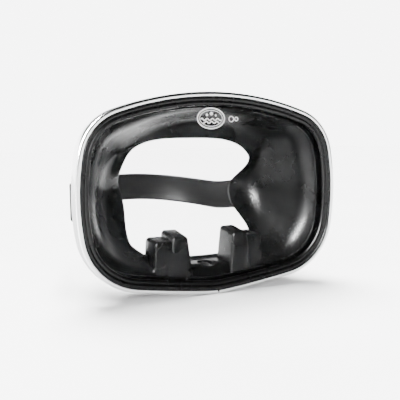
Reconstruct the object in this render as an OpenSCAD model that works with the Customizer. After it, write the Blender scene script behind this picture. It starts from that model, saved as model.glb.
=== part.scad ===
// Oval single-lens diving mask with a split steel band, finger wells and a head strap.
// Millimetres. X is across the face, Y runs back from the lens to the head, Z is up.
// Every module draws in mask axes (front of the steel lip at y = 0, middle of the lens
// outline at x = z = 0) and place() moves it so that the band stands on z = 0.

/* [Front outline] */
// Half width of the opening inside the steel lip
half_w = 78.5; // [77:0.5:82]
// Height of that opening above its middle
top_z = 54.4; // [53:0.2:56]
// Depth of that opening below its middle, at the keel
keel_z = 54.2; // [53:0.2:56]
// Radius of the top edge
top_r = 180; // [160:5:220]
// Radius of the side edges
side_r = 130; // [115:5:145]
// Radius of the upper corners
upper_corner_r = 28; // [24:1:32]
// Radius of the lower corners
lower_corner_r = 34; // [30:1:38]
// Radius of the two nearly straight lower edges
low_r = 600; // [450:50:900]
// Radius that rounds the keel between the lower edges
keel_r = 60; // [50:5:80]
// Slope of the lower edges beside the keel, in degrees
keel_slope = 5.3; // [4:0.1:6.5]

/* [Steel band] */
// How far the band's outside stands beyond the outline
band_out = 2.5; // [2.3:0.1:3]
// Thickness of the band's sheet
band_t = 0.8; // [0.6:0.1:1]
// Front-to-back width of the band
band_w = 9; // [8.5:0.5:13]
// Gap between the two ends of the band
split_gap = 1.2; // [0.8:0.2:2]

/* [Glass] */
// Distance from the lip's front to the glass
glass_y = 2.5; // [2:0.1:3]
// Thickness of the glass
glass_t = 4; // [3:0.5:4]

/* [Skirt] */
// Thickness of the rubber wall
skin = 2; // [1.6:0.1:2.4]
// Thickness of the sealing edge
edge_t = 0.9; // [0.7:0.1:1.2]
// Half width of the fold between wall and seal
fold_w = 51.5; // [50:0.5:53]
// Half width of the face opening, before the temples pinch it
face_w = 46; // [44:0.5:47]

/* [Finger wells] */
// Distance from the middle to the nose side of each well
well_x = 14.3; // [13.5:0.1:15]
// Width of the tall part of each well
tall_w = 10.2; // [9:0.1:11]
// Width of the low part of each well
low_w = 10; // [9:0.1:11]

/* [Purge valve] */
// Backward lean of the valve, in degrees
purge_tilt = 20; // [15:1:24]
// Radius of the valve seat's tube
seat_r = 4.6; // [4.4:0.1:4.8]

/* [Strap] */
// Width of the strap
strap_w = 20; // [18:0.5:20]
// Thickness of the strap
strap_t = 2; // [1.6:0.1:2]
// Height of the strap's middle relative to the middle of the lens
strap_z = -6; // [-8:1:-4]
// How far the strap can be let out through its buckles
strap_travel = 10; // [8:1:12]
// How far the strap's legs turn inward, in degrees
toe = 12; // [10:1:14]

/* [Hidden] */
$fn = 64;

eps = 0.01;
fit = 0.05;            // running clearance, per side
steel = "#c9ccd0";
rubber = "#17181a";

// --- placing the mask in the part's frame
depth = 148.4;                     // whole depth, lip to strap
base_z = keel_z + band_out;        // height of the lens's middle above the floor

// --- the outline, as arcs that run smoothly into each other
function unit(a) = [cos(a), sin(a)];
function angle_of(v) = atan2(v[1], v[0]);
// Centre of a circle of radius r that touches two larger circles from inside
function nested_centre(c1, r1, c2, r2, r, side) =
    let (v = c2 - c1, l = norm(v), e = v / l, d1 = r1 - r, d2 = r2 - r)
    let (a = (d1 * d1 - d2 * d2 + l * l) / (2 * l), h = sqrt(d1 * d1 - a * a))
    c1 + e * a + [-e[1], e[0]] * h * side;

top_c = [0, top_z - top_r];
side_c = [half_w - side_r, 0];
keel_c = [0, keel_r - keel_z];
keel_end = keel_slope - 90;
low_c = keel_c - (low_r - keel_r) * unit(keel_end);
upper_c = nested_centre(top_c, top_r, side_c, side_r, upper_corner_r, -1);
lower_c = nested_centre(low_c, low_r, side_c, side_r, lower_corner_r, 1);

// Right half, clockwise from the top: centre, radius, first angle, last angle, steps
half_arcs = [
    [top_c, top_r, 90, angle_of(upper_c - top_c), 8],
    [upper_c, upper_corner_r, angle_of(upper_c - top_c), angle_of(upper_c - side_c), 9],
    [side_c, side_r, angle_of(upper_c - side_c), angle_of(lower_c - side_c), 7],
    [lower_c, lower_corner_r, angle_of(lower_c - side_c), angle_of(lower_c - low_c), 9],
    [low_c, low_r, angle_of(lower_c - low_c), keel_end, 5],
    [keel_c, keel_r, keel_end, -90, 2],
];
half_stations = concat(
    [for (a = half_arcs) for (k = [0:a[4] - 1]) [a[0], a[1], a[2] + (a[3] - a[2]) * k / a[4]]],
    [[keel_c, keel_r, -90]]);
half_count = len(half_stations);

// Point of the outline at a station, moved out by d
function half_point(s, d) = s[0] + (s[1] + d) * unit(s[2]);
function mirrored(p) = [-p[0], p[1]];
function outline_points(d) = concat(
    [for (s = half_stations) half_point(s, d)],
    [for (k = [half_count - 2:-1:1]) mirrored(half_point(half_stations[k], d))]);
function outline_normals() = outline_points(1) - outline_points(0);

// --- rubber frame round the glass
channel_gap = 0.05;                // clearance of the glass and of the steel
glass_edge = -2.3;                 // the glass's edge, measured from the outline
sight_edge = -5;                   // inner edge of the rubber in front of the glass
wall_edge = -6;                    // where the skirt's wall starts behind the glass
wall_y = glass_y + glass_t + 1.5;
lip_t = 0.9;                       // thickness of the steel lip
flange_in = 0.6;                   // inner edge of the band's rear flange
seat_out = band_out - band_t - 0.1;
rim_y = band_w + 0.3;              // back of the rubber frame

rim_profile = [
    [flange_in - 0.1, rim_y], [flange_in - 0.1, band_w - band_t - 0.1],
    [seat_out, band_w - band_t - 0.1], [seat_out, lip_t + 0.1], [-0.3, lip_t + 0.1],
    [-0.9, 0.5], [-1.8, 0.4], [-2.5, 1.1], [-3.2, 0.8], [-4.2, 1], [sight_edge, 1.8],
    [sight_edge, glass_y - channel_gap], [glass_edge + 0.1, glass_y - channel_gap],
    [glass_edge + 0.1, glass_y + glass_t + channel_gap], [wall_edge, glass_y + glass_t + channel_gap],
    [wall_edge, wall_y]];

// --- skirt wall, fold and sealing edge
fold_top = 42;
fold_low = 45;
face_top = 32;
face_low = 40;
face_square = [3.2, 4];            // how square its upper and lower corners are
pinch = 0.19;                      // how much the temples narrow it
pinch_z = -7;                      // where they narrow it most
pinch_h = 18;                      // how far up and down that reaches
// Share of the way inward for each share of the way back, from the glass to the fold
wall_profile = [[0, 0], [0.08, 0.17], [0.2, 0.3], [0.4, 0.43], [0.6, 0.58], [0.8, 0.76],
    [0.93, 0.9], [1, 1]];
outer_rings = 8;

function polar_oval(dir, w, up, low, n) =
    let (h = dir[1] > 0 ? up : low)
    dir / pow(pow(abs(dir[0]) / w, n) + pow(abs(dir[1]) / h, n), 1 / n);
function fold_point(dir) = polar_oval(dir, fold_w, fold_top, fold_low, 2.1);
function pinched(p) = [p[0] * (1 - pinch * exp(-pow((p[1] - pinch_z) / pinch_h, 2))), p[1]];
function face_point(dir) =
    pinched(polar_oval(dir, face_w, face_top, face_low, face_square[dir[1] > 0 ? 0 : 1]));
// How far back the fold and the sealing edge lie: deepest at the temples
function fold_y(z) = z > 0 ? 30 + 20 * pow(cos(90 * z / fold_top), 2)
                           : 22 + 28 * cos(90 * z / fold_low);
function face_y(z) = z > 0 ? 36 + 21 * pow(cos(90 * min(1, z / 21)), 2)
                           : 30 + 27 * pow(max(0, cos(90 * z / face_low)), 2.2);
function mix(a, b, t) = a + (b - a) * t;
function at_depth(p, y) = [p[0], y, p[1]];

function skirt_section(rim, edge, normal, dir) =
    let (fold = fold_point(dir), back = fold_y(fold[1]), face = face_point(dir), seal = face_y(face[1]))
    concat(
        rim,
        [for (k = [1:len(wall_profile) - 1])
            at_depth(mix(edge, fold, wall_profile[k][1]), mix(wall_y, back, wall_profile[k][0]))],
        [at_depth(face, seal), at_depth(face, seal + edge_t)],
        [for (k = [outer_rings:-1:0])
            let (y = mix(rim_y + 1.5, back + 1.2, k / outer_rings))
            let (t = min(1, (y - wall_y) / (back - wall_y)))
            at_depth(mix(edge, fold, lookup(t, wall_profile)) + normal * skin, y)]);

function skirt_sections() =
    let (edges = outline_points(wall_edge), normals = outline_normals())
    let (rims = [for (q = rim_profile) outline_points(q[0])])
    [for (i = [0:len(edges) - 1])
        skirt_section([for (j = [0:len(rim_profile) - 1]) at_depth(rims[j][i], rim_profile[j][1])],
                      edges[i], normals[i], edges[i] / norm(edges[i]))];

// --- finger wells
well_front = 7.6;
well_back = 26.5;
well_wall = 1.8;
well_foot = -49.6;                 // a little inside the bowl's floor
well_top = -23.8;
well_rise = 2.2;                   // how much higher the tall part's top is at the back
well_lean = 0.6;                   // how far its front leans back
well_round = 1.6;
low_top = -26;
low_rise = 1;
low_lap = 3;                       // how far the low part runs into the tall one
hollow_front = 15.6;
hollow_foot = -62;                 // below the skirt, so the hollow is open
hollow_lean = -5;                  // its front leans forward, to the band's side
hollow_round = 1;

// --- sill between the wells, as depth and height
sill_half = well_x + 1.5;
sill_z = -41.2;
sill_profile = [[8.1, -47.6], [8.1, -46.8], [10, -42.4], [11.2, sill_z],
    [28.6, sill_z - 0.2], [24.5, -44.6], [22.3, -45.9], [15, -47.3]];

// --- purge valve, measured along its own axis from the collar's top
purge_y = 17.8;
purge_z = -43.25;
neck_r = 7.4;
neck_len = 5.2;
bore_r = seat_r + fit;
seat_wall = 1;
seat_below = 0.5;                  // how far the tube's top lies below the collar
flange_t = 1;
hub_r = 2.2;
hub_h = 2;
web_t = 1.2;
web_h = 1.6;
web_up = 0.3;                      // hub and webs stand back from the flange's face
stem_r = 1;
stem_l = 5.2;
barb_r = [1.6, 0.8];
barb_h = 1.2;
barb_up = 4;
flap_r = 5.8;
flap_t = 0.8;
flap_gap = 0.2;
cover_r = 7.5;
cover_end = 9.6;
cover_wall = 1;
cover_floor = 0.9;
vent_r = 1.1;
vent_ring = 3.8;

// --- strap, buckles and brackets on the right side
leg_gap = 0.3;                     // roller to strap
roller_r = 1.6;
bend_in = roller_r + leg_gap;      // inside radius of the strap round the roller
bend_out = bend_in + strap_t;
roller_x = 66.5;
roller_y = 44;
// The rear arc's centre lies where it touches both legs and ends at the whole depth
loop_y = (depth - roller_x * cos(toe) - roller_y * sin(toe) + bend_in) / (1 - sin(toe));
loop_r = depth - loop_y;
leg_start = 0.1;
loop_steps = 48;
tail_start = strap_travel + 0.3;
tail_end = 37;
tail_corner = 5;
keeper_y = 12.5;
keeper_l = 6;
keeper_gap = 0.3;
keeper_wall = 1.2;
pivot_y = 32;
stud_r = 2;
stud_foot_r = 3.2;
stud_head_r = 3.5;
stud_dome_r = 2.4;
stud_dome_h = 0.7;
stud_head_t = 1.2;
washer_r = 3.9;
arm_gap = 0.6;                     // strap edge to buckle arm
arm_t = 1.4;
arm_z = strap_w / 2 + arm_gap;
arm_y = 36;
arm_end_r = 2.9;
reach = arm_z + arm_t;             // half height of the buckle
spine_x = 69.6;
spine_t = 1.4;
spine_w = 3.3;
spine_out = spine_x + spine_t;
eye_r = 5;
axle_r = 1;
axle_out = 0.2;                    // how far the axle stands out of the arms
roller_play = 0.1;
rib_r = 0.3;                       // grooves along the roller
bracket_x = 67.5;
bracket_t = 1.2;
tongue_h = 8;
tongue_start = 21.2;
tongue_end = 37.5;

// --- steel inside the rubber
room = 0.3;                        // clearance of the rubber round it
plate_half = 14;
plate_y = [1.6, 7.4];
plate_in = 0.75;
plate_out = band_out - band_t - fit;
foot_y = 3;
foot_end = band_w - 0.4;            // it stays hidden inside the band
foot_z = [strap_z - 8, strap_z + 8];
foot_bend = 1.5;                   // where the foot turns inward, before the band's back
screw_angle = keel_end + 0.4;
screw_r = 1.5;
screw_head_r = 2.6;
screw_head_h = 1.2;
screw_l = 3.6;
slot_w = 0.7;
slot_deep = 0.5;
below = -70;                       // lower than any part of the mask
wide = 90;                         // wider than half the mask
through = 40;                      // longer than any hole

// --- helpers
module place() {
    translate([0, -depth / 2, base_z]) children();
}

module slab(y0, y1) {
    translate([0, y1, 0]) rotate([90, 0, 0]) linear_extrude(y1 - y0) children();
}

module outline(d) {
    polygon(outline_points(d));
}

module ring(d0, d1) {
    difference() {
        outline(d1);
        outline(d0);
    }
}

// The part of a ring that lies inside a rectangle
module ring_piece(d0, d1, low, high) {
    intersection() {
        ring(d0, d1);
        translate(low) square(high - low);
    }
}

module side(s) {
    mirror([s < 0 ? 1 : 0, 0, 0]) children();
}

// Something drawn along -Z, set on the purge valve's axis
module on_purge_axis() {
    translate([0, purge_y, purge_z]) rotate([purge_tilt, 0, 0]) children();
}

module purge_cylinder(low, high, r) {
    on_purge_axis() translate([0, 0, low]) cylinder(h = high - low, r = r);
}

// Something drawn along X at the strap's height
module on_pivot() {
    translate([0, pivot_y, strap_z]) rotate([0, 90, 0]) children();
}

// Something drawn beside the roller's axis, with Y along the strap's leg
module along_leg() {
    translate([roller_x, roller_y, strap_z]) rotate([0, 0, toe]) children();
}

// Something drawn along -Z, set square on the band beside its split
module on_screw_axis() {
    p = low_c + (low_r + band_out) * unit(screw_angle);
    translate([p[0], band_w / 2, p[1]]) rotate([0, -90 - screw_angle, 0]) children();
}

// Block with rounded edges whose top rises to the back. Its foot is a little wider.
module soft_block(x, y, z, rise, lean, r) {
    foot = [0.4, 0.7] * r;
    hull() {
        for (i = [0, 1]) {
            for (j = [0, 1]) {
                sx = 1 - 2 * i;
                sy = 1 - 2 * j;
                translate([x[i] + sx * r, y[j] + sy * r + lean * (1 - j), z[1] + rise * j - r])
                    sphere(r, $fn = 16);
                translate([x[i] + sx * foot[0], y[j] + sy * foot[1], z[0]])
                    cylinder(h = 1, r = r, $fn = 16);
            }
        }
    }
}

// --- glass
module lens_glass() {
    color("#bcd3d0") place() slab(glass_y, glass_y + glass_t) outline(glass_edge);
}

// --- skirt: one moulding
module skirt_bowl() {
    sections = skirt_sections();
    n = len(sections);
    m = len(sections[0]);
    polyhedron(
        points = [for (s = sections) for (p = s) p],
        faces = [for (i = [0:n - 1]) for (j = [0:m - 1])
            let (a = i * m, b = ((i + 1) % n) * m, k = (j + 1) % m)
            each [[a + j, b + k, a + k], [a + j, b + j, b + k]]]);
}

module well_blocks() {
    mid = well_x + tall_w;
    soft_block([well_x, mid], [well_front, well_back], [well_foot, well_top],
        well_rise, well_lean, well_round);
    soft_block([mid - low_lap, mid + low_w], [well_front + 1, well_back - 0.7],
        [well_foot + 0.6, low_top], low_rise, well_lean, well_round);
}

module well_hollows() {
    mid = well_x + tall_w;
    back = well_back - well_wall;
    soft_block([well_x + well_wall, mid - well_wall], [hollow_front, back],
        [hollow_foot, well_top - well_wall], well_rise - 0.7, hollow_lean, hollow_round);
    soft_block([mid - low_lap - 2, mid + low_w - well_wall], [hollow_front + 0.3, back - 0.7],
        [hollow_foot, low_top - well_wall], low_rise, hollow_lean + 0.3, hollow_round);
}

module sill() {
    translate([-sill_half, 0, 0]) rotate([90, 0, 90]) linear_extrude(2 * sill_half)
        polygon(sill_profile);
}

module skirt() {
    color(rubber) place() difference() {
        union() {
            skirt_bowl();
            sill();
            for (s = [-1, 1]) side(s) well_blocks();
            purge_cylinder(-neck_len - 0.2, 0, neck_r);
        }
        for (s = [-1, 1]) side(s) well_hollows();
        purge_cylinder(-through, 10, bore_r);
        purge_cylinder(-through, -neck_len, cover_r + room);
        slab(plate_y[0] - room, plate_y[1] + room)
            ring_piece(plate_in - 0.1, 4, [-plate_half - room, below], [plate_half + room, 0]);
        for (s = [-1, 1]) side(s) on_screw_axis() cylinder(h = screw_l + 1.4, r = screw_r + 0.5);
        for (s = [-1, 1]) side(s)
            slab(foot_y - room, band_w + 7)
                ring_piece(plate_in - 0.1, 4, [0, foot_z[0] - room], [wide, foot_z[1] + room]);
    }
}

// --- steel band and the plate that joins its ends
module screw_cutter() {
    cylinder(h = screw_head_h, r1 = screw_head_r + fit, r2 = screw_r + fit);
    cylinder(h = screw_l + 1.4, r = screw_r + fit);
}

module front_band() {
    color(steel) place() difference() {
        union() {
            slab(0, lip_t) ring(0, band_out);
            slab(lip_t - eps, band_w) ring(band_out - band_t, band_out);
            slab(band_w - band_t, band_w) ring(flange_in, band_out - band_t / 2);
        }
        translate([-split_gap / 2, -1, below]) cube([split_gap, through, -below - 20]);
        for (s = [-1, 1]) side(s) on_screw_axis() translate([0, 0, -eps]) screw_cutter();
        for (s = [-1, 1]) side(s)
            slab(band_w - 2, band_w + 1)
                ring_piece(flange_in - 1, band_out - band_t,
                    [0, foot_z[0] - room], [wide, foot_z[1] + room]);
    }
}

module joint_plate() {
    color(steel) place() difference() {
        slab(plate_y[0], plate_y[1])
            ring_piece(plate_in, plate_out, [-plate_half, below], [plate_half, 0]);
        for (s = [-1, 1]) side(s) on_screw_axis() translate([0, 0, -eps]) screw_cutter();
    }
}

module joint_screw(s) {
    color(steel) place() side(s) on_screw_axis() difference() {
        union() {
            cylinder(h = screw_head_h, r1 = screw_head_r, r2 = screw_r);
            cylinder(h = screw_l, r = screw_r);
        }
        translate([-3, -slot_w / 2, slot_deep - 1.5]) cube([6, slot_w, 1.5]);
    }
}

// --- purge valve
module purge_seat() {
    foot = -neck_len - fit - flange_t;
    bore = seat_r - seat_wall;
    color("#2b2c2e") place() difference() {
        union() {
            difference() {
                union() {
                    purge_cylinder(foot, -seat_below, seat_r);
                    purge_cylinder(foot, foot + flange_t, neck_r);
                }
                purge_cylinder(-through, 10, bore);
            }
            purge_cylinder(foot + web_up, foot + web_up + hub_h, hub_r);
            on_purge_axis() for (a = [0, 120, 240]) rotate([0, 0, a])
                translate([0, -web_t / 2, foot + web_up]) cube([bore + seat_wall / 2, web_t, web_h]);
        }
        purge_cylinder(-through, 10, stem_r + fit);
    }
}

flap_top = -neck_len - flange_t - flap_gap;
module purge_diaphragm() {
    color("#2a2220") place() union() {
        purge_cylinder(flap_top - flap_t, flap_top, flap_r);
        purge_cylinder(flap_top - eps, flap_top + stem_l - eps, stem_r);
        on_purge_axis() translate([0, 0, flap_top + barb_up])
            cylinder(h = barb_h, r1 = barb_r[0], r2 = barb_r[1]);
    }
}

module purge_cover() {
    top = -neck_len - flange_t - 2 * fit;
    color(rubber) place() difference() {
        purge_cylinder(-cover_end, top, cover_r);
        purge_cylinder(-cover_end + cover_floor, 0, cover_r - cover_wall);
        on_purge_axis() for (a = [0:72:359]) rotate([0, 0, a]) translate([vent_ring, 0, -through])
            cylinder(h = through, r = vent_r);
        purge_cylinder(-through, 0, vent_r);
    }
}

// --- brackets, studs and washers that carry the buckles
module strap_bracket(s) {
    root_x = half_w + plate_in - 0.05;
    x0 = bracket_x;
    x1 = bracket_x + bracket_t;
    color(steel) place() side(s) difference() {
        union() {
            slab(foot_y, foot_end) ring_piece(plate_in, plate_out, [0, foot_z[0]], [wide, foot_z[1]]);
            translate([0, 0, strap_z - tongue_h / 2]) linear_extrude(tongue_h)
                polygon([[root_x, band_w - foot_bend], [root_x + 0.5, band_w - foot_bend],
                         [root_x + 0.5, band_w + 1.2], [x1, tongue_start + 0.8], [x1, tongue_end],
                         [x0, tongue_end], [x0, tongue_start], [root_x, band_w + 0.5]]);
        }
        on_pivot() cylinder(h = wide, r = stud_r);
    }
}

module pivot_stud(s) {
    inner = bracket_x - stud_head_t;
    outer = spine_out + fit;
    color(steel) place() side(s) on_pivot() union() {
        translate([0, 0, inner]) cylinder(h = outer - inner, r = stud_r);
        translate([0, 0, inner]) cylinder(h = stud_head_t, r = stud_foot_r);
        translate([0, 0, outer]) cylinder(h = stud_head_t - stud_dome_h, r = stud_head_r);
        translate([0, 0, outer + stud_head_t - stud_dome_h])
            cylinder(h = stud_dome_h, r1 = stud_head_r, r2 = stud_dome_r);
    }
}

module pivot_washer(s) {
    x0 = bracket_x + bracket_t + fit;
    color("#e6e3da") place() side(s) on_pivot() translate([0, 0, x0]) difference() {
        cylinder(h = spine_x - fit - x0, r = washer_r);
        translate([0, 0, -1]) cylinder(h = 5, r = stud_r + fit);
    }
}

// --- buckles
module buckle_arm() {
    inner = roller_x - arm_end_r;
    linear_extrude(arm_t) polygon([[spine_x, arm_y], [spine_out, arm_y], [spine_out, roller_y],
        [roller_x + arm_end_r, roller_y + 0.5], [inner + 0.5, roller_y + 0.5], [inner, roller_y - 1.5],
        [spine_x - 1, arm_y + 1.5]]);
}

module buckle_frame(s) {
    color(steel) place() side(s) difference() {
        union() {
            on_pivot() translate([0, 0, spine_x]) cylinder(h = spine_t, r = eye_r);
            translate([spine_x, pivot_y, strap_z - eye_r]) cube([spine_t, eye_r, 2 * eye_r]);
            translate([spine_x, arm_y, strap_z - reach]) cube([spine_t, spine_w, 2 * reach]);
            for (z = [-reach, arm_z]) translate([0, 0, strap_z + z]) {
                buckle_arm();
                translate([roller_x, roller_y, 0]) cylinder(h = arm_t, r = arm_end_r);
            }
        }
        on_pivot() cylinder(h = wide, r = stud_r + fit);
        translate([roller_x, roller_y, strap_z - through / 2]) cylinder(h = through, r = axle_r + fit);
    }
}

module buckle_roller(s) {
    roll = arm_z - roller_play;
    axle = reach + axle_out;
    color(steel) place() side(s) translate([roller_x, roller_y, strap_z]) difference() {
        union() {
            translate([0, 0, -roll]) cylinder(h = 2 * roll, r = roller_r);
            translate([0, 0, -axle]) cylinder(h = 2 * axle, r = axle_r);
        }
        for (a = [0:45:359]) rotate([0, 0, a])
            translate([roller_r, 0, 0]) cylinder(h = strap_w, r = rib_r, center = true);
    }
}

// --- strap
// One face of the strap from leg to leg; n is its distance from the roller's axis
function strap_line(n, r) =
    let (start = [roller_x, roller_y] - n * unit(toe) + leg_start * unit(toe + 90))
    concat([start],
           [for (k = [0:loop_steps]) [0, loop_y] + r * unit(toe + (180 - 2 * toe) * k / loop_steps)],
           [mirrored(start)]);
function reversed(list) = [for (k = [len(list) - 1:-1:0]) list[k]];

module strap_loop() {
    color(rubber) place() translate([0, 0, strap_z - strap_w / 2]) linear_extrude(strap_w)
        polygon(concat(strap_line(bend_in, loop_r), reversed(strap_line(bend_out, loop_r - strap_t))));
}

module strap_bend(s) {
    color(rubber) place() side(s) along_leg() translate([0, 0, -strap_w / 2]) rotate([0, 0, 180])
        rotate_extrude(angle = 180) translate([bend_in, 0]) square([strap_t, strap_w]);
}

module strap_tail(s) {
    r = tail_corner;
    color(rubber) place() side(s) along_leg() translate([bend_in, 0, 0]) union() {
        translate([0, tail_start, -strap_w / 2]) cube([strap_t, tail_end - r - tail_start, strap_w]);
        translate([0, tail_end - r - 1, r - strap_w / 2]) cube([strap_t, r + 1, strap_w - 2 * r]);
        for (z = [-1, 1]) translate([0, tail_end - r, z * (strap_w / 2 - r)])
            rotate([0, 90, 0]) cylinder(h = strap_t, r = r);
    }
}

module keeper(s) {
    half_in = bend_out + keeper_gap;
    half_out = half_in + keeper_wall;
    h = strap_w / 2 + keeper_gap;
    color(rubber) place() side(s) along_leg() translate([0, keeper_y, 0]) difference() {
        translate([-half_out, 0, -h - keeper_wall])
            cube([2 * half_out, keeper_l, 2 * (h + keeper_wall)]);
        translate([-half_in, -1, -h]) cube([2 * half_in, keeper_l + 2, 2 * h]);
    }
}

lens_glass();
skirt();
front_band();
joint_plate();
joint_screw(-1);  // joint_screw_left
joint_screw(1);  // joint_screw_right
purge_seat();
purge_diaphragm();
purge_cover();
strap_bracket(-1);  // strap_bracket_left
strap_bracket(1);  // strap_bracket_right
pivot_stud(-1);  // pivot_stud_left
pivot_stud(1);  // pivot_stud_right
pivot_washer(-1);  // pivot_washer_left
pivot_washer(1);  // pivot_washer_right
buckle_frame(-1);  // buckle_frame_left
buckle_frame(1);  // buckle_frame_right
buckle_roller(-1);  // buckle_roller_left
buckle_roller(1);  // buckle_roller_right
strap_loop();
strap_bend(-1);  // strap_bend_left
strap_bend(1);  // strap_bend_right
strap_tail(-1);  // strap_tail_left
strap_tail(1);  // strap_tail_right
keeper(-1);  // keeper_left
keeper(1);  // keeper_right
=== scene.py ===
import math

import bmesh
import bpy
import numpy as np
from mathutils import Matrix, Vector


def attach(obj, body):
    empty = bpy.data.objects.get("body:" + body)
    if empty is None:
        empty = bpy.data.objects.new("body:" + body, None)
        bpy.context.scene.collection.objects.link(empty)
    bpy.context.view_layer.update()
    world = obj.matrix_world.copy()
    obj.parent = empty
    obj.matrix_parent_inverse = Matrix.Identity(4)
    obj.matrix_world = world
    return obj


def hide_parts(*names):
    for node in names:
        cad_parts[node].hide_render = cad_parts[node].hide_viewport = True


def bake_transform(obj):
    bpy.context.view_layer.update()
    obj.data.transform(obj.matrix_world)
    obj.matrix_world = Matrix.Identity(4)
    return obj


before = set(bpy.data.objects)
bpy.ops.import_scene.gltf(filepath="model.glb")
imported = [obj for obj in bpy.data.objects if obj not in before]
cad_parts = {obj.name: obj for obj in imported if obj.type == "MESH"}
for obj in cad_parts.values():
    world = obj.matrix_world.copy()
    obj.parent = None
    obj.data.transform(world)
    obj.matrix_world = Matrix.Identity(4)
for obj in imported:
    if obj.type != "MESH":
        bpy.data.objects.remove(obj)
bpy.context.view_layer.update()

# Sizes are in millimetres in mask axes, as in the CAD source: x across the face, y back from
# the front of the steel lip, z up from the middle of the lens. row() turns them into the frame.
MM = 0.001
DEPTH = 148.4
BASE_Z = 56.7


def row(points):
    return (np.asarray(points, float) + (0, -DEPTH / 2, BASE_Z)) * MM


# --- making meshes

SHARP = 35  # degrees from which an edge stays sharp


def new_piece(name, verts, faces, body=None, slot=None, material=None, sharp=SHARP):
    mesh = bpy.data.meshes.new(name)
    mesh.from_pydata([tuple(v) for v in row(verts)], [], faces)
    mesh.validate()
    b = bmesh.new()
    b.from_mesh(mesh)
    bmesh.ops.recalc_face_normals(b, faces=b.faces)
    b.to_mesh(mesh)
    b.free()
    piece = bpy.data.objects.new(name, mesh)
    bpy.context.collection.objects.link(piece)
    finish_piece(piece, body, material, sharp)
    return piece


def finish_piece(piece, body, material, sharp):
    smooth(piece.data, sharp)
    if material:
        piece.data.materials.clear()
        piece.data.materials.append(material)
    if body:
        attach(piece, body)


def smooth(mesh, sharp):
    mesh.shade_smooth()
    mesh.set_sharp_from_angle(angle=math.radians(sharp))


def loft(rings, closed=True):
    """Faces round a stack of closed sections; an open stack gets end caps."""
    n, m = rings.shape[:2]
    faces = []
    for i in range(n if closed else n - 1):
        for j in range(m):
            k, l = (j + 1) % m, (i + 1) % n
            faces.append((i * m + j, i * m + k, l * m + k, l * m + j))
    if not closed:
        faces += [tuple(range(m))[::-1], tuple((n - 1) * m + j for j in range(m))]
    return rings.reshape(-1, 3), faces


def joined(name, parts, **facts):
    """One piece from several (vertices, faces)."""
    verts, faces, base = [], [], 0
    for v, f in parts:
        verts.append(np.asarray(v, float))
        faces += [tuple(i + base for i in q) for q in f]
        base += len(v)
    return new_piece(name, np.vstack(verts), faces, **facts)


def apply_modifiers(piece):
    bpy.context.view_layer.update()
    graph = bpy.context.evaluated_depsgraph_get()
    mesh = bpy.data.meshes.new_from_object(piece.evaluated_get(graph))
    old = piece.data
    piece.modifiers.clear()
    piece.data = mesh
    bpy.data.meshes.remove(old)


def boolean(piece, tool, operation):
    m = piece.modifiers.new("cut", "BOOLEAN")
    m.operation, m.solver, m.object = operation, "EXACT", tool
    apply_modifiers(piece)
    bpy.data.objects.remove(tool)


EDGE_ANGLE = 40  # degrees from which an edge of a CAD node counts as one
FLAT_ANGLE = 1   # degrees below which neighbouring faces are merged


def eased(piece, width):
    """Rounds the edges of a CAD node with modifiers only."""
    weld = piece.modifiers.new("weld", "WELD")
    weld.merge_threshold = 1e-6
    flat = piece.modifiers.new("flat", "DECIMATE")
    flat.decimate_type, flat.angle_limit = "DISSOLVE", math.radians(FLAT_ANGLE)
    bevel = piece.modifiers.new("ease", "BEVEL")
    bevel.width, bevel.segments = width * MM, 2
    bevel.limit_method, bevel.angle_limit = "ANGLE", math.radians(EDGE_ANGLE)
    bevel.harden_normals = True
    bevel.miter_outer = "MITER_ARC"


# --- the front outline, as in the CAD source

def unit(a):
    return np.array([math.cos(math.radians(a)), math.sin(math.radians(a))])


def angle_of(v):
    return math.degrees(math.atan2(v[1], v[0]))


def nested_centre(c1, r1, c2, r2, r, side):
    """Centre of an arc of radius r that touches two larger arcs from inside."""
    v = c2 - c1
    l = np.linalg.norm(v)
    e = v / l
    d1, d2 = r1 - r, r2 - r
    a = (d1 * d1 - d2 * d2 + l * l) / (2 * l)
    h = math.sqrt(d1 * d1 - a * a)
    return c1 + e * a + np.array([-e[1], e[0]]) * h * side


HALF_W, TOP_Z, KEEL_Z = 78.5, 54.4, 54.2
TOP_R, SIDE_R, UPPER_R, LOWER_R, LOW_R, KEEL_R = 180, 130, 28, 34, 600, 60
KEEL_END = 5.3 - 90
top_c = np.array([0, TOP_Z - TOP_R])
side_c = np.array([HALF_W - SIDE_R, 0])
keel_c = np.array([0, KEEL_R - KEEL_Z])
low_c = keel_c - (LOW_R - KEEL_R) * unit(KEEL_END)
upper_c = nested_centre(top_c, TOP_R, side_c, SIDE_R, UPPER_R, -1)
lower_c = nested_centre(low_c, LOW_R, side_c, SIDE_R, LOWER_R, 1)
# Centre, radius, first angle, last angle, steps
ARCS = [
    (top_c, TOP_R, 90, angle_of(upper_c - top_c), 16),
    (upper_c, UPPER_R, angle_of(upper_c - top_c), angle_of(upper_c - side_c), 22),
    (side_c, SIDE_R, angle_of(upper_c - side_c), angle_of(lower_c - side_c), 18),
    (lower_c, LOWER_R, angle_of(lower_c - side_c), angle_of(lower_c - low_c), 26),
    (low_c, LOW_R, angle_of(lower_c - low_c), KEEL_END, 46),
    (keel_c, KEEL_R, KEEL_END, -90, 9),
]


def stations(arcs, last):
    """Centre, radius and angle of each station of the right half, clockwise from the top."""
    out = [(c, r, a0 + (a1 - a0) * k / n) for c, r, a0, a1, n in arcs for k in range(n)]
    return out + [last]


half = stations(ARCS, (keel_c, KEEL_R, -90))


def half_points(d, half=half):
    """The right half, d outside the outline."""
    return np.array([c + (r + d) * unit(a) for c, r, a in half])


def outline(d):
    right = half_points(d)
    return np.vstack([right, right[-2:0:-1] * (-1, 1)])


def shift(points, y):
    """2-D points in the outline's plane, set at a depth."""
    points = np.asarray(points)
    y = np.broadcast_to(y, len(points))
    return np.column_stack([points[:, 0], y, points[:, 1]])


# --- materials

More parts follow.
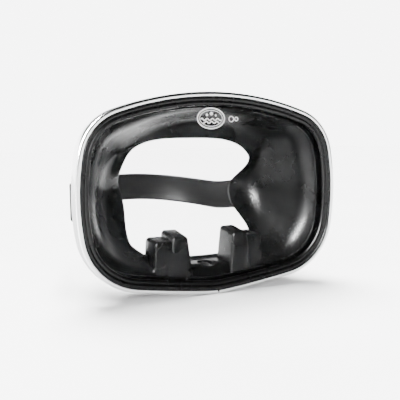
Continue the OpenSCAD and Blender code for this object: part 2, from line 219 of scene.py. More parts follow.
def nodes_of(name):
    material = bpy.data.materials.new(name)
    material.use_nodes = True
    tree = material.node_tree
    return material, tree, tree.nodes["Principled BSDF"]


def noise(tree, scale, detail, rough, stretch=None):
    place = tree.nodes.new("ShaderNodeTexCoord")
    found = place.outputs["Object"]
    if stretch:
        bend = tree.nodes.new("ShaderNodeMapping")
        bend.inputs["Scale"].default_value = stretch
        tree.links.new(found, bend.inputs["Vector"])
        found = bend.outputs["Vector"]
    made = tree.nodes.new("ShaderNodeTexNoise")
    tree.links.new(found, made.inputs["Vector"])
    made.inputs["Scale"].default_value = scale
    made.inputs["Detail"].default_value = detail
    made.inputs["Roughness"].default_value = rough
    return made


def ramp(tree, source, low, high, a, b):
    """A colour or grey between a and b as the source goes from low to high."""
    made = tree.nodes.new("ShaderNodeValToRGB")
    made.color_ramp.elements[0].position = low
    made.color_ramp.elements[1].position = high
    for element, c in zip(made.color_ramp.elements, (a, b)):
        element.color = (*c, 1) if isinstance(c, tuple) else (c, c, c, 1)
    tree.links.new(source, made.inputs["Fac"])
    return made.outputs["Color"]


def bump(tree, shader, heights):
    """Adds bumps one over another: (height output, strength, distance in mm)."""
    last = None
    for height, strength, distance in heights:
        made = tree.nodes.new("ShaderNodeBump")
        made.inputs["Strength"].default_value = strength
        made.inputs["Distance"].default_value = distance * MM
        tree.links.new(height, made.inputs["Height"])
        if last:
            tree.links.new(last, made.inputs["Normal"])
        last = made.outputs["Normal"]
    tree.links.new(last, shader.inputs["Normal"])


def worn_edges(tree):
    """Rises along convex edges."""
    shape = tree.nodes.new("ShaderNodeNewGeometry")
    return ramp(tree, shape.outputs["Pointiness"], 0.5, 0.56, 0.0, 1.0)


def mixed(tree, factor, a, b):
    """From a to b as the factor rises; each is a colour or a socket."""
    made = tree.nodes.new("ShaderNodeMix")
    made.data_type = "RGBA"
    tree.links.new(factor, made.inputs["Factor"])
    for socket, value in ((made.inputs["A"], a), (made.inputs["B"], b)):
        if isinstance(value, bpy.types.NodeSocket):
            tree.links.new(value, socket)
        else:
            socket.default_value = (*value, 1)
    return made.outputs["Result"]


# Noise scales, in turns per metre
CLOUD_SCALE, SLOW_SCALE, GRAIN_SCALE = 55, 90, 2600
BRUSH_SCALE, SMEAR_SCALE, FILM_SCALE, INK_SCALE = 900, 60, 40, 700
RUBBER_IOR, GLASS_IOR, GLASS_ALPHA = 1.52, 1.5, 0.06


def rubber_material(name, dark, pale, rough, grain, edge=(0.012, 0.012, 0.012), shine=0.5):
    """Moulded rubber or plastic: faint bloom, rubbed edges, fine grain and slow unevenness."""
    material, tree, shader = nodes_of(name)
    cloud = noise(tree, CLOUD_SCALE, 5, 0.6)
    fine = noise(tree, GRAIN_SCALE, 2, 0.6)
    slow = noise(tree, SLOW_SCALE, 2, 0.4)
    colour = ramp(tree, cloud.outputs["Fac"], 0.35, 0.75, dark, pale)
    tree.links.new(mixed(tree, worn_edges(tree), colour, edge), shader.inputs["Base Color"])
    tree.links.new(ramp(tree, cloud.outputs["Fac"], 0.3, 0.72, rough[0], rough[1]),
                   shader.inputs["Roughness"])
    bump(tree, shader, [(slow.outputs["Fac"], 0.2, grain), (fine.outputs["Fac"], 0.35, grain)])
    shader.inputs["Specular IOR Level"].default_value = shine
    shader.inputs["IOR"].default_value = RUBBER_IOR
    return material


def metal_material(name, colour, rough, stretch, brushed, scratch=0.25):
    """Stainless steel: brushing along one direction, faint smears and polished edges."""
    material, tree, shader = nodes_of(name)
    lines = noise(tree, BRUSH_SCALE, 3, 0.6, stretch)
    smear = noise(tree, SMEAR_SCALE, 4, 0.6)
    dark = tuple(c * 0.86 for c in colour)
    tree.links.new(mixed(tree, worn_edges(tree),
                         ramp(tree, smear.outputs["Fac"], 0.3, 0.7, colour, dark), (0.9, 0.9, 0.9)),
                   shader.inputs["Base Color"])
    tree.links.new(ramp(tree, smear.outputs["Fac"], 0.3, 0.75, rough[0], rough[1]),
                   shader.inputs["Roughness"])
    bump(tree, shader, [(lines.outputs["Fac"], scratch, brushed)])
    shader.inputs["Metallic"].default_value = 1
    return material


skirt_rubber = rubber_material("skirt_rubber", (0.0012, 0.0013, 0.0014), (0.0018, 0.0019, 0.002),
                               (0.25, 0.31), 0.009, (0.003, 0.003, 0.0031), 0.1)
cover_rubber = rubber_material("cover_rubber", (0.002, 0.002, 0.0021), (0.005, 0.005, 0.0052),
                               (0.32, 0.5), 0.02, (0.01, 0.01, 0.01), 0.35)
strap_rubber = rubber_material("strap_rubber", (0.0018, 0.0018, 0.0019), (0.0036, 0.0036, 0.0037),
                               (0.4, 0.55), 0.03, (0.008, 0.008, 0.008), 0.045)
band_steel = metal_material("band_steel", (0.83, 0.84, 0.85), (0.08, 0.2), (1, 8, 1), 0.006)
buckle_steel = metal_material("buckle_steel", (0.66, 0.67, 0.68), (0.22, 0.38), (1, 1, 6), 0.01, 0.4)
roller_steel = metal_material("roller_steel", (0.58, 0.59, 0.6), (0.25, 0.42), (1, 1, 1), 0.015, 0.5)
valve_plastic = rubber_material("valve_plastic", (0.02, 0.02, 0.021), (0.034, 0.034, 0.036),
                                (0.35, 0.5), 0.015, (0.08, 0.08, 0.08))
valve_rubber = rubber_material("valve_rubber", (0.03, 0.026, 0.025), (0.05, 0.044, 0.042),
                               (0.4, 0.55), 0.015)
washer_plastic = rubber_material("washer_plastic", (0.7, 0.69, 0.64), (0.8, 0.79, 0.75),
                                 (0.35, 0.5), 0.012, (0.86, 0.85, 0.82))


def glass_material():
    """Clear glass with a faint film on it."""
    material, tree, shader = nodes_of("glass")
    film = noise(tree, FILM_SCALE, 5, 0.65)
    tree.links.new(ramp(tree, film.outputs["Fac"], 0.35, 0.8, 0.01, 0.05), shader.inputs["Roughness"])
    colour = ramp(tree, film.outputs["Fac"], 0.3, 0.8, (0.01, 0.014, 0.014), (0.03, 0.036, 0.035))
    tree.links.new(colour, shader.inputs["Base Color"])
    shader.inputs["Alpha"].default_value = GLASS_ALPHA
    shader.inputs["IOR"].default_value = GLASS_IOR
    material.surface_render_method = "BLENDED"
    return material


def print_material():
    """White ink, thinner in places."""
    material, tree, shader = nodes_of("white_print")
    patch = noise(tree, INK_SCALE, 3, 0.6)
    tree.links.new(ramp(tree, patch.outputs["Fac"], 0.25, 0.6, (0.62, 0.62, 0.62), (0.9, 0.9, 0.9)),
                   shader.inputs["Base Color"])
    tree.links.new(ramp(tree, patch.outputs["Fac"], 0.3, 0.7, 0.4, 0.6), shader.inputs["Roughness"])
    bump(tree, shader, [(patch.outputs["Fac"], 0.3, 0.01)])
    return material


glass = glass_material()
white_print = print_material()


# --- the skirt: rim, wall, fold and sealing edge lofted round the outline

# Half width, height above and height below the middle: where the wall folds, and the opening
FOLD_W, FOLD_TOP, FOLD_LOW = 51.5, 42, 45
FACE_W, FACE_TOP, FACE_LOW = 46, 32, 40
# How square they are; the opening has one value above and one below
FOLD_SQUARE, FACE_SQUARE = 2.1, (3.2, 4)
# The opening is drawn in by this share at the temples, most at this height, over this height
PINCH, PINCH_Z, PINCH_H = 0.19, -7, 18
# Depths at the middle, the top and the bottom
FOLD_Y, FOLD_TOP_Y, FOLD_LOW_Y = 50, 30, 22
FACE_Y, FACE_TOP_Y, FACE_LOW_Y = 57, 36, 30
FACE_RISE = 21  # height over which the opening's edge comes forward
SKIN, EDGE_T, WALL_Y, RIM_Y = 2.0, 0.9, 8.0, 9.3
BACK_SKIN = 1.2    # thickness at the fold, along the depth
TURN_FROM = 0.86   # share of the wall's depth where it turns into the sealing edge
TURN_TO = 0.45     # share of the sealing edge where the turn ends
# Rubber frame: distance from the outline, depth
RIM = [(0.5, 9.3), (0.5, 8.1), (1.6, 8.1), (1.6, 1.0), (-0.3, 1.0), (-0.42, 0.7), (-0.7, 0.44),
       (-1.1, 0.32), (-1.55, 0.34), (-1.95, 0.55), (-2.25, 0.88), (-2.5, 1.08), (-2.75, 0.98),
       (-3.0, 0.76), (-3.35, 0.62), (-3.8, 0.66), (-4.3, 0.9), (-4.75, 1.3), (-5.0, 1.8),
       (-5.06, 2.2), (-5.0, 2.45), (-2.2, 2.45), (-2.2, 6.55), (-5.7, 6.55), (-5.95, 6.8),
       (-6.0, 7.3)]
# Wall: share back, share inward
WALL = [(0, 0), (0.08, 0.17), (0.2, 0.3), (0.4, 0.43), (0.6, 0.58), (0.8, 0.76), (0.93, 0.9), (1, 1)]


def wall_curve():
    """The wall's share inward for each share back, smoothed."""
    t = np.linspace(0, 1, 401)
    s = np.interp(t, *np.array(WALL).T)
    for width in (41, 31):
        pad = width // 2
        before = 2 * s[0] - s[pad:0:-1]
        after = 2 * s[-1] - s[-2:-pad - 2:-1]
        s = np.convolve(np.concatenate([before, s, after]), np.ones(width) / width, "valid")
    return t, s


curve_t, curve_s = wall_curve()


def share(t):
    return np.interp(t, curve_t, curve_s)


def polar_oval(way, w, up, low, n):
    """The point in direction way on an oval; a larger n is squarer."""
    h = up if way[1] > 0 else low
    return way / ((abs(way[0]) / w) ** n + (abs(way[1]) / h) ** n) ** (1 / n)


def cos_deg(a):
    return math.cos(math.radians(a))


def fold_depth(z):
    if z > 0:
        return FOLD_TOP_Y + (FOLD_Y - FOLD_TOP_Y) * cos_deg(90 * z / FOLD_TOP) ** 2
    return FOLD_LOW_Y + (FOLD_Y - FOLD_LOW_Y) * cos_deg(90 * z / FOLD_LOW)


def face_depth(z):
    if z > 0:
        return FACE_TOP_Y + (FACE_Y - FACE_TOP_Y) * cos_deg(90 * min(1, z / FACE_RISE)) ** 2
    return FACE_LOW_Y + (FACE_Y - FACE_LOW_Y) * max(0, cos_deg(90 * z / FACE_LOW)) ** 2.2


def face_point(way):
    """The opening's edge: an oval that is pinched at the temples."""
    p = polar_oval(way, FACE_W, FACE_TOP, FACE_LOW, FACE_SQUARE[0 if way[1] > 0 else 1])
    return p * (1 - PINCH * math.exp(-((p[1] - PINCH_Z) / PINCH_H) ** 2), 1)


def at(p, y):
    return np.array([p[0], y, p[1]])


def corner(a, c, b, steps):
    """A smooth turn from a to b that heads for c."""
    return [(1 - u) ** 2 * a + 2 * u * (1 - u) * c + u * u * b for u in np.linspace(0, 1, steps)]


def skirt_section(rim, edge, normal):
    """One section of the skirt, with where its inner side starts and how many points it has."""
    way = edge / np.linalg.norm(edge)
    fold = polar_oval(way, FOLD_W, FOLD_TOP, FOLD_LOW, FOLD_SQUARE)
    face = face_point(way)
    back, seal = fold_depth(fold[1]), face_depth(face[1])

    def wall(t, out=0.0, y=None):
        y = WALL_Y + (back - WALL_Y) * t if y is None else y
        return at(edge + (fold - edge) * share(min(1, t)) + normal * out, y)

    inner_fold, inner_face = at(fold, back), at(face, seal)
    outer_fold, outer_face = at(fold + normal * SKIN, back + BACK_SKIN), at(face, seal + EDGE_T)
    into = inner_face - inner_fold
    into = into / np.linalg.norm(into)
    inner = [wall(t) for t in np.linspace(0, TURN_FROM, 30)]
    seal_at = inner_fold + (inner_face - inner_fold) * TURN_TO
    inner += corner(inner[-1], inner_fold, seal_at, 12)[1:]
    inner += [seal_at + (inner_face - seal_at) * u for u in np.linspace(0, 1, 9)[1:]]
    tip = [inner_face + into * 0.3 + at([0, 0], 0.18), inner_face + into * 0.42 + at([0, 0], 0.45),
           outer_face + into * 0.3 - at([0, 0], 0.18)]
    outer_seal = outer_fold + (outer_face - outer_fold) * TURN_TO
    outer = [outer_face + (outer_seal - outer_face) * u for u in np.linspace(0, 1, 6)]
    first, last = RIM_Y + 1.5, back + BACK_SKIN

    def shell(k):
        y = first + (last - first) * k
        return wall((y - WALL_Y) / (back - WALL_Y), SKIN, y)

    outer += corner(outer_seal, outer_fold, shell(TURN_FROM), 10)[1:]
    outer += [shell(k) for k in np.linspace(TURN_FROM, 0, 22)[1:]]
    shoulder = at([rim[0][0], rim[0][2]], RIM_Y)
    outer += corner(shell(0), shell(0) - at([0, 0], 1.2), shoulder, 6)[1:-1]
    return np.array(list(rim) + inner + tip + outer), len(rim), len(inner)


def make_skirt_rings():
    edges = outline(-6)
    normals = outline(1) - outline(0)
    rims = np.array([shift(outline(d), y) for d, y in RIM])
    rings, inside = [], None
    for i, edge in enumerate(edges):
        section, first, count = skirt_section(rims[:, i], edge, normals[i])
        rings.append(section)
        inside = (first, first + count)
    return np.array(rings), inside


# Finger wells: nose side, step between tall and low part, outer side
WELL = [14.3, 24.5, 34.5]
# Spans of x and y that the floor sweeps up to
FILLET_SPANS = [(WELL[0], WELL[1], 8.1, 26.5), (WELL[1] - 1, WELL[2], 9.1, 25.8)]
FILLET = 3.6
# Name, x, y, z, rise of the top to the back, lean of the front, spread of the foot
WELLS = [("tall", (WELL[0], WELL[1]), (7.6, 26.5), (-49.6, -23.8), 2.2, 0.6, (1.4, 0.4)),
         ("low", (WELL[1] - 3, WELL[2]), (8.6, 25.8), (-49, -26), 1, 0.6, (0, 0))]
HOLLOWS = [("tall_hollow", (WELL[0] + 1.8, WELL[1] - 1.8), (15.6, 24.7), (-62, -25.6), 1.5, -5),
           ("low_hollow", (WELL[1] - 5, WELL[2] - 1.8), (15.9, 24.0), (-62, -27.8), 1, -4.7)]
WELL_ROUND, HOLLOW_ROUND = 2.2, 1


def fillet_height(x, y):
    """How far the floor sweeps up where it meets the wells and the sill."""
    x = np.abs(x)
    gaps = []
    for x0, x1, y0, y1 in FILLET_SPANS:
        gaps.append(np.hypot(np.maximum(0, np.maximum(x0 - x, x - x1)),
                             np.maximum(0, np.maximum(y0 - y, y - y1))))
    gap = np.minimum(*gaps)
    reach = np.clip(FILLET - gap, 0, FILLET)
    return FILLET - np.sqrt(FILLET ** 2 - reach ** 2)


def make_skirt():
    rings, (first, last) = make_skirt_rings()
    part = rings[:, first + 2:last]
    low = np.clip((-30 - part[..., 2]) / 6, 0, 1)
    fade = np.clip((part[..., 1] - WALL_Y) / 1.5, 0, 1)
    part[..., 2] += fillet_height(part[..., 0], part[..., 1]) * low * fade
    verts, faces = loft(rings)
    return new_piece("skirt_moulding", verts, faces)


BALL_STEPS = 20


def ball_points(centre, r):
    out = []
    for i in range(BALL_STEPS // 2 + 1):
        lat = math.pi * i / (BALL_STEPS // 2) - math.pi / 2
        for j in range(BALL_STEPS):
            lon = 2 * math.pi * j / BALL_STEPS
            out.append([centre[0] + r * math.cos(lat) * math.cos(lon),
                        centre[1] + r * math.cos(lat) * math.sin(lon), centre[2] + r * math.sin(lat)])
    return out


def soft_block(name, x, y, z, rise, lean, r, flare=(0, 0)):
    """A block with rounded edges whose front leans back and whose top rises to the back.

    flare is how far its foot spreads to the low and to the high side of x.
    """
    points = []
    for sx in (0, 1):
        for sy in (0, 1):
            ix, iy = (r, -r)[sx], (r, -r)[sy]
            top = z[1] + rise * sy
            points += ball_points((x[sx] + ix, y[sy] + iy + lean * (1 - sy), top - r), r)
            foot = (x[sx] + ix * 0.4 + (2 * sx - 1) * flare[sx], y[sy] + iy * 0.7)
            points += [[foot[0] + r * math.cos(a), foot[1] + r * math.sin(a), z[0]]
                       for a in np.linspace(0, 2 * math.pi, BALL_STEPS, endpoint=False)]
    b = bmesh.new()
    for p in row(points):
        b.verts.new(p)
    hull = bmesh.ops.convex_hull(b, input=b.verts)
    bmesh.ops.delete(b, geom=[g for g in set(hull["geom_interior"] + hull["geom_unused"])
                              if isinstance(g, bmesh.types.BMVert)], context="VERTS")
    mesh = bpy.data.meshes.new(name)
    b.to_mesh(mesh)
    b.free()
    piece = bpy.data.objects.new(name, mesh)
    bpy.context.collection.objects.link(piece)
    return piece


def mirror_x(points, s):
    points = np.array(points, float)
    points[..., 0] *= s
    return points


def well_span(a, b, s):
    return sorted((a * s, b * s))


# The valve: its middle and how far its axis leans
PURGE = (0, 17.8, -43.25)
TILT = math.radians(20)
# Profiles about its axis: radius, height
COLLAR = [(7.4, -5.4), (7.4, -0.6), (7.2, -0.2), (6.8, 0), (5.6, 0), (4.4, -0.4), (4.4, -5.4)]
BORE = [(0.001, -20), (7.8, -20), (7.8, -5.2), (4.66, -5.2), (4.66, 1.2), (5.0, 1.9), (5.6, 2.6),
        (7.2, 3.4), (7.2, 9), (0.001, 9)]
# The sill's section: depth, height
SILL = [(7.9, -49), (8.2, -47.2), (8.9, -45), (9.7, -43.1), (10.3, -42.2), (11, -41.6),
        (12, -41.2), (13.5, -41.05), (26, -41.1), (28, -41.3), (29, -41.9), (28, -43.5),
        (24.5, -44.8), (22.3, -46.2), (15, -47.8), (11, -49)]


def on_purge(points):
    """Points drawn along the valve's own axis, in mask axes."""
    p = np.asarray(points, float)
    y = p[..., 1] * math.cos(TILT) - p[..., 2] * math.sin(TILT)
    z = p[..., 1] * math.sin(TILT) + p[..., 2] * math.cos(TILT)
    return np.stack([p[..., 0], y, z], -1) + PURGE


def turned(profile):
    """Rings of a profile of (radius, height) turned about the valve's axis."""
    a = np.linspace(0, 2 * math.pi, 64, endpoint=False)
    return np.array([[[r * math.cos(t), r * math.sin(t), h] for r, h in profile] for t in a])


def sill():
    """The raised ledge between the wells that the valve opens through."""
    # its upper side sweeps up to the wells at both ends
    rings = []
    for x in np.linspace(-16, 16, 41):
        up = 1.6 * max(0, (abs(x) - 11.8) / 4.2) ** 2
        rings.append([[x, y, z + (up if z > -44 else 0)] for y, z in SILL])
    return loft(np.array(rings), closed=False)


def build_skirt():
    skirt = make_skirt()
    v, f = sill()
    boolean(skirt, new_piece("sill", v, f), "UNION")
    for s in (-1, 1):
        for tag, x, y, z, rise, lean, flare in WELLS:
            block = soft_block(tag, well_span(*x, s), y, z, rise, lean, WELL_ROUND, flare[::s])
            boolean(skirt, block, "UNION")
    v, f = loft(on_purge(turned(COLLAR)))
    boolean(skirt, new_piece("collar", v, f), "UNION")
    for s in (-1, 1):
        for tag, x, y, z, rise, lean in HOLLOWS:
            block = soft_block(tag, well_span(*x, s), y, z, rise, lean, HOLLOW_ROUND)
            boolean(skirt, block, "DIFFERENCE")
    v, f = loft(on_purge(turned(BORE)))
    boolean(skirt, new_piece("bore", v, f), "DIFFERENCE")
    skirt.name = skirt.data.name = "skirt_moulding"
    finish_piece(skirt, "mask", skirt_rubber, 38)
    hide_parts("skirt")
    return skirt


# --- the steel band, with its lip rounded over and its two ends at the bottom

# Section: distance from the outline, depth
BAND = [(0.02, 0.5), (0.1, 0.16), (0.32, 0.0), (1.3, 0.0), (1.75, 0.07), (2.12, 0.26), (2.38, 0.58),
        (2.5, 1.0), (2.5, 8.35), (2.42, 8.7), (2.2, 8.93), (1.9, 9.0), (0.95, 9.0),
        (0.72, 8.93), (0.62, 8.75), (0.6, 8.5), (0.68, 8.28), (0.9, 8.2), (1.5, 8.2),
        (1.66, 8.1), (1.7, 7.9), (1.7, 1.2), (1.62, 0.98), (1.4, 0.9), (0.3, 0.9), (0.1, 0.8)]
SPLIT = 1.2
SCREW_A = KEEL_END + 0.4
SCREW_Y = 4.5
BAND_OUT, BAND_IN = 2.5, 1.7
# The screw's hole: depth below the band's face, radius
SCREW_HOLE = [(-0.4, 3.05), (1.2, 1.55), (5.2, 1.55)]
# The bracket's foot needs a notch in the rear flange: its ends, from the side arc's centre
NOTCH_ENDS = ((129, -14.3), (129, 2.3))
NOTCH_Y = (7, 10)


def notch(s):
    angles = np.linspace(*[angle_of(end) for end in NOTCH_ENDS], 9)
    arc = [side_c + (SIDE_R - 0.4) * unit(a) for a in angles]
    arc += [side_c + (SIDE_R + BAND_IN) * unit(a) for a in angles[::-1]]
    return loft(np.array([mirror_x(shift(arc, y), s) for y in NOTCH_Y]), closed=False)


def screw_hole(s):
    way = unit(SCREW_A)
    p = low_c + (LOW_R + BAND_OUT) * way
    side = np.array([-way[1], way[0]])
    cone = []
    for deep, r in SCREW_HOLE:
        cone.append([[*(p - way * deep + side * r * math.cos(a)), r * math.sin(a)]
                     for a in np.linspace(0, 2 * math.pi, 40, endpoint=False)])
    cone = np.array(cone)
    return loft(np.stack([cone[..., 0] * s, SCREW_Y + cone[..., 2], cone[..., 1]], -1), closed=False)


def build_band():
    gap = math.degrees(math.asin(SPLIT / 2 / (KEEL_R + 1.25)))
    short = stations(ARCS[:-1] + [(keel_c, KEEL_R, KEEL_END, -90 + gap, 9)],
                     (keel_c, KEEL_R, -90 + gap))
    rings = []
    for d, y in BAND:
        right = half_points(d, short)
        whole = np.vstack([right[::-1], right[1:] * (-1, 1)])
        rings.append(shift(whole, y))
    v, f = loft(np.array(rings).transpose(1, 0, 2), closed=False)
    band = new_piece("band", v, f)
    for s in (-1, 1):
        boolean(band, new_piece("notch", *notch(s)), "DIFFERENCE")
        boolean(band, new_piece("hole", *screw_hole(s)), "DIFFERENCE")
    band.name = band.data.name = "band"
    finish_piece(band, "mask", band_steel, 40)
    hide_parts("front_band")
    return band


# --- generic print on the glass: a porthole with waves and bubbles

PRINT_Y = (2.45, 2.49)  # just in front of the glass
MARK = (-2.6, 42.3)


def plate(points):
    """A thin flat shape in front of the glass from its outline (x, z)."""
    return loft(np.array([shift(points, y) for y in PRINT_Y]), closed=False)


def ribbon(points, width, closed=False):
    """Flat quads along a line, as plates."""
    points = np.asarray(points, float)
    ahead = np.roll(points, -1, 0) if closed else np.vstack([points[1:], 2 * points[-1] - points[-2]])
    behind = np.roll(points, 1, 0) if closed else np.vstack([2 * points[0] - points[1], points[:-1]])
    way = ahead - behind
    way /= np.linalg.norm(way, axis=1)[:, None]
    off = np.column_stack([-way[:, 1], way[:, 0]]) * width / 2
    near, far = PRINT_Y
    rings = np.stack([shift(points + off, near), shift(points - off, near),
                      shift(points - off, far), shift(points + off, far)], 1)
    return loft(rings, closed=closed)


def oval(cx, cz, rx, rz, steps=48):
    a = np.linspace(0, 2 * math.pi, steps, endpoint=False)
    return np.column_stack([cx + rx * np.cos(a), cz + rz * np.sin(a)])


def build_print():
    cx, cz = MARK
    parts = [ribbon(oval(cx, cz, 8.4, 5.6), 0.75, True), ribbon(oval(cx, cz, 7.1, 4.4), 0.35, True)]
    for k, (z, w) in enumerate(((-0.6, 6.4), (-2.2, 5.2))):
        x = np.linspace(-w, w, 41)
        parts.append(ribbon(np.column_stack([cx + x, cz + z + 0.55 * np.sin(x * 1.9 + k)]), 0.65))
    for x, z, r in ((-2.6, 1.9, 0.75), (0.2, 2.6, 1.0), (2.9, 1.6, 0.6)):
        parts.append(plate(oval(cx + x, cz + z, r, r, 24)))
    for x, r in ((10.2, 1.5), (13.4, 1.0)):
        parts.append(ribbon(oval(x, 42, r, r, 32), 0.5, True))
    return joined("lens_mark", parts, body="mask", material=white_print)


# --- strap, tails and keepers

STRAP_Z, STRAP_W, STRAP_T = -6.0, 20.0, 2.0
FLAT_T = 1.86     # height of the face between the raised edges
ROLLER = np.array([66.5, 44.0])
TOE = 12          # degrees that the strap's legs lean in
BEND_IN = 1.9     # radius of the strap's inner side round the roller
TAIL_L, TAPER_FROM = 37, 32
RIBS, RIB_PITCH = (12, 31), 1.5
KEEPER_Y = 12.5
SAG_FROM, SAG_RUN = 64, 42
# The rear arc touches both legs and ends at the whole depth
LOOP_Y = (DEPTH - ROLLER @ unit(TOE) + BEND_IN) / (1 - unit(TOE)[1])
LOOP_R = DEPTH - LOOP_Y
LEG_L = (LOOP_Y - ROLLER[1]) * unit(TOE)[0] + ROLLER[0] * unit(TOE)[1]
# Lower edge of the strap's section: along its thickness, along its width
STRAP_SECTION = [(0.0, -9.3), (0.12, -9.72), (0.42, -9.95), (0.8, -10), (1.2, -10), (1.58, -9.95),
                 (1.88, -9.72), (2.0, -9.3)]


def strap_sections(path, outward, taper=None):
    """Sections of flat rubber along a path of (x, y); outward points away from the inner side."""
    rings = []
    for i, (p, o) in enumerate(zip(path, outward)):
        share_w = 1 if taper is None else taper[i]
        points = STRAP_SECTION + [(t, w) for t, w in
                                  ((2.0, -8.4), (FLAT_T, -8.1), (FLAT_T, 8.1), (2.0, 8.4))]
        points += [(t, -w) for t, w in STRAP_SECTION[::-1]]
        points += [(0.0, 8.4), (0.14, 8.1), (0.14, -8.1), (0.0, -8.4)]
        rings.append([[p[0] + o[0] * t, p[1] + o[1] * t, STRAP_Z + w * share_w] for t, w in points])
    return np.array(rings)


def along_leg(points):
    """Points drawn beside the roller's axis, x away from it and y along the strap's leg."""
    p = np.array(points, float)
    flat = ROLLER + p[..., :1] * unit(TOE) + p[..., 1:2] * unit(TOE + 90)
    p[..., :2] = flat
    return p


def strap_sag(path):
    """How far the loose rear of the strap hangs off its straight height."""
    along = path[:, 0] / LOOP_R
    hang = np.where(along > 0, 1.3 - 5.2 * along ** 2, 1.3 + 0.9 * along)
    rear = np.clip((path[:, 1] - SAG_FROM) / SAG_RUN, 0, 1)
    return hang * rear * rear * (3 - 2 * rear)


def build_strap():
    """Round one roller, along a leg to the rear, and mirrored back to the other roller."""
    path, out = [], []
    for a in np.linspace(TOE, TOE - 180, 25)[:-1]:
        path.append(ROLLER + BEND_IN * unit(a))
        out.append(unit(a))
    for u in np.linspace(0, LEG_L, 60)[:-1]:
        path.append(ROLLER - BEND_IN * unit(TOE) + u * unit(TOE + 90))
        out.append(-unit(TOE))
    for a in np.linspace(TOE, 90, 45):
        path.append(np.array([0, LOOP_Y]) + LOOP_R * unit(a))
        out.append(-unit(a))
    path, out = np.array(path), np.array(out)
    path = np.vstack([path, path[-2::-1] * (-1, 1)])
    out = np.vstack([out, out[-2::-1] * (-1, 1)])
    rings = strap_sections(path, out)
    rings[..., 2] += strap_sag(path)[:, None]
    v, f = loft(rings, closed=False)
    strap = new_piece("strap", v, f, slot="strap_rubber", material=strap_rubber, sharp=50)
    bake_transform(strap)
    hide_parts("strap_loop", "strap_bend_left", "strap_bend_right")
    for s, tag in ((-1, "left"), (1, "right")):
        build_tail(s, tag)
        build_keeper(s, tag)


def build_tail(s, tag):
    """The free end past the buckle, ribbed so that it grips, with a rounded tip."""
    r = TAIL_L - TAPER_FROM
    turn = [TAPER_FROM + r * math.sin(math.radians(a)) for a in range(6, 90, 6)]
    ys = list(np.arange(0, TAPER_FROM + 0.01, 0.25)) + turn + [TAIL_L - 0.01]
    taper = [(r + math.sqrt(r * r - max(0, y - TAPER_FROM) ** 2)) / (2 * r) for y in ys]
    rings = strap_sections([(BEND_IN, y) for y in ys], [(1, 0)] * len(ys), taper)
    # cross ribs on the outside, between the plain edges
    for y, ring in zip(ys, rings):
        if RIBS[0] < y < RIBS[1]:
            rib = 0.5 + 0.5 * math.cos(2 * math.pi * (y - RIBS[0]) / RIB_PITCH)
            ring[np.isclose(ring[:, 0], BEND_IN + FLAT_T), 0] += 0.24 * rib - 0.1
    v, f = loft(mirror_x(along_leg(rings), s), closed=False)
    tail = new_piece("strap_end_" + tag, v, f, slot="strap_rubber", material=strap_rubber, sharp=50)
    ends = mirror_x(along_leg([(BEND_IN, 0.3, STRAP_Z), (BEND_IN, 10.8, STRAP_Z)]), s)
    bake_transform(tail)
    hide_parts("strap_tail_" + tag)


def rounded_box(x0, x1, z0, z1, r):
    out = []
    for cx, cz, a0 in ((x1 - r, z1 - r, 0), (x0 + r, z1 - r, 90), (x0 + r, z0 + r, 180),
                       (x1 - r, z0 + r, 270)):
        out += [np.array([cx, cz]) + r * unit(a0 + 15 * k) for k in range(7)]
    return np.array(out)


# The keeper's wall, from the hole's edge along the outside and back: distance out, depth
KEEPER_WALL = [(0.0, 0.35), (0.12, 0.1), (0.4, 0.0), (0.8, 0.0), (1.08, 0.12), (1.2, 0.4),
               (1.2, 2.0), (1.05, 2.3), (1.05, 3.7), (1.2, 4.0), (1.2, 5.6), (1.08, 5.88),
               (0.8, 6.0), (0.4, 6.0), (0.12, 5.9), (0.0, 5.65)]
KEEPER_GAP, KEEPER_ROUND = 0.3, 0.35


def build_keeper(s, tag):
    half_in, h = BEND_IN + STRAP_T + KEEPER_GAP, STRAP_W / 2 + KEEPER_GAP
    rings = []
    for out, y in KEEPER_WALL:
        box = rounded_box(-half_in - out, half_in + out, STRAP_Z - h - out, STRAP_Z + h + out,
                          KEEPER_ROUND + out)
        rings.append(mirror_x(along_leg(shift(box, KEEPER_Y + y)), s))
    v, f = loft(np.array(rings))
    keeper = new_piece("strap_keeper_" + tag, v, f, "strap", "strap_rubber", strap_rubber, 50)
    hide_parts("keeper_" + tag)


# --- CAD nodes that keep their shape

def dress():
    """Material and edge rounding in mm of each CAD node that is seen as it is."""
    looks = {
        "lens_glass": (glass, 0.35), "joint_plate": (band_steel, 0.15),
        "joint_screw_left": (band_steel, 0.1), "joint_screw_right": (band_steel, 0.1),
        "purge_seat": (valve_plastic, 0.12), "purge_diaphragm": (valve_rubber, 0.15),
        "purge_cover": (cover_rubber, 0.25), "strap_bracket_left": (buckle_steel, 0.2),
        "strap_bracket_right": (buckle_steel, 0.2), "pivot_stud_left": (buckle_steel, 0.15),
        "pivot_stud_right": (buckle_steel, 0.15), "pivot_washer_left": (washer_plastic, 0.12),
        "pivot_washer_right": (washer_plastic, 0.12), "buckle_frame_left": (buckle_steel, 0.3),
        "buckle_frame_right": (buckle_steel, 0.3), "buckle_roller_left": (roller_steel, 0.08),
        "buckle_roller_right": (roller_steel, 0.08),
    }
    for name, (material, width) in looks.items():
        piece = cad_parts[name]
        piece.data.materials.clear()
        piece.data.materials.append(material)
        smooth(piece.data, EDGE_ANGLE)
        eased(piece, width)


build_skirt()
build_band()
build_print()
build_strap()
dress()


# --- floor, light and camera; metres here

FLOOR_HALF = 6
WORLD_STRENGTH = 7
FOV, SENSOR = 36, 36
CAMERA_AT = (-0.16001, -0.37836, 0.08641)
CAMERA_WAY = (0.43748, 0.89420, -0.09503)
CAMERA_UP = (0.05119, 0.08074, 0.99542)


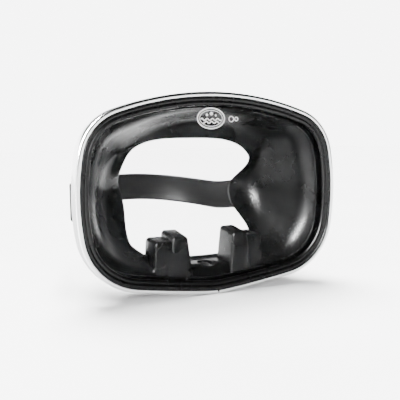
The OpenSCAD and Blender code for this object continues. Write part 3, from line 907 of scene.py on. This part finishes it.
def floor_material():
    material, tree, shader = nodes_of("floor")
    mottle = noise(tree, 6, 3, 0.5)
    tree.links.new(ramp(tree, mottle.outputs["Fac"], 0.3, 0.7, (0.9, 0.9, 0.9), (0.93, 0.93, 0.93)),
                   shader.inputs["Base Color"])
    tree.links.new(ramp(tree, mottle.outputs["Fac"], 0.3, 0.7, 0.55, 0.7), shader.inputs["Roughness"])
    return material


def build_floor():
    mesh = bpy.data.meshes.new("floor")
    h = FLOOR_HALF
    mesh.from_pydata([(-h, -h, 0), (h, -h, 0), (h, h, 0), (-h, h, 0)], [], [(0, 1, 2, 3)])
    floor = bpy.data.objects.new("floor", mesh)
    bpy.context.collection.objects.link(floor)
    mesh.materials.append(floor_material())


def build_world():
    """White low down behind the mask, dim above it, in front and far to the right."""
    world = bpy.data.worlds.new("studio")
    world.use_nodes = True
    tree = world.node_tree
    place = tree.nodes.new("ShaderNodeTexCoord")
    parts = tree.nodes.new("ShaderNodeSeparateXYZ")
    tree.links.new(place.outputs["Generated"], parts.inputs["Vector"])
    light = ramp(tree, parts.outputs["Y"], 0.0, 0.3, 0.05, 1.0)
    for axis, start, end, last in (("Z", 0.225, 0.27, 0.05), ("X", 0.72, 0.85, 0.2)):
        both = tree.nodes.new("ShaderNodeMix")
        both.data_type, both.blend_type = "RGBA", "MULTIPLY"
        both.inputs["Factor"].default_value = 1
        tree.links.new(light, both.inputs["A"])
        tree.links.new(ramp(tree, parts.outputs[axis], start, end, 1.0, last), both.inputs["B"])
        light = both.outputs["Result"]
    tree.links.new(light, tree.nodes["Background"].inputs["Color"])
    tree.nodes["Background"].inputs["Strength"].default_value = WORLD_STRENGTH
    bpy.context.scene.world = world


def area_light(name, place, target, width, height, power):
    data = bpy.data.lights.new(name, "AREA")
    data.shape, data.size, data.size_y, data.energy = "RECTANGLE", width, height, power
    lamp = bpy.data.objects.new(name, data)
    lamp.location = place
    lamp.rotation_mode = "QUATERNION"
    lamp.rotation_quaternion = (Vector(target) - Vector(place)).to_track_quat("-Z", "Y")
    lamp.visible_diffuse = False  # it only adds highlights
    bpy.context.collection.objects.link(lamp)


def sun_light(name, way, power, spread):
    """A light from direction way; spread is its size in degrees."""
    data = bpy.data.lights.new(name, "SUN")
    data.energy, data.angle = power, math.radians(spread)
    lamp = bpy.data.objects.new(name, data)
    lamp.rotation_mode = "QUATERNION"
    lamp.rotation_quaternion = Vector(way).to_track_quat("Z", "Y")
    lamp.visible_glossy = False  # it only lights the floor and the matt parts
    bpy.context.collection.objects.link(lamp)


def build_camera():
    data = bpy.data.cameras.new("camera")
    data.sensor_width = SENSOR
    data.lens = SENSOR / 2 / math.tan(math.radians(FOV / 2))
    data.clip_start, data.clip_end = 0.01, 50
    camera = bpy.data.objects.new("camera", data)
    forward = Vector(CAMERA_WAY).normalized()
    up = Vector(CAMERA_UP)
    right = forward.cross(up).normalized()
    up = right.cross(forward)
    turn = Matrix((right, up, -forward)).transposed().to_4x4()
    camera.matrix_world = Matrix.Translation(CAMERA_AT) @ turn
    bpy.context.collection.objects.link(camera)
    bpy.context.scene.camera = camera


build_floor()
build_world()
area_light("softbox", (-0.85, -0.5, 0.8), (0, 0, 0.05), 0.28, 1.1, 480)
sun_light("sky", (0.02, 0.3, 1.0), 26, 40)
build_camera()
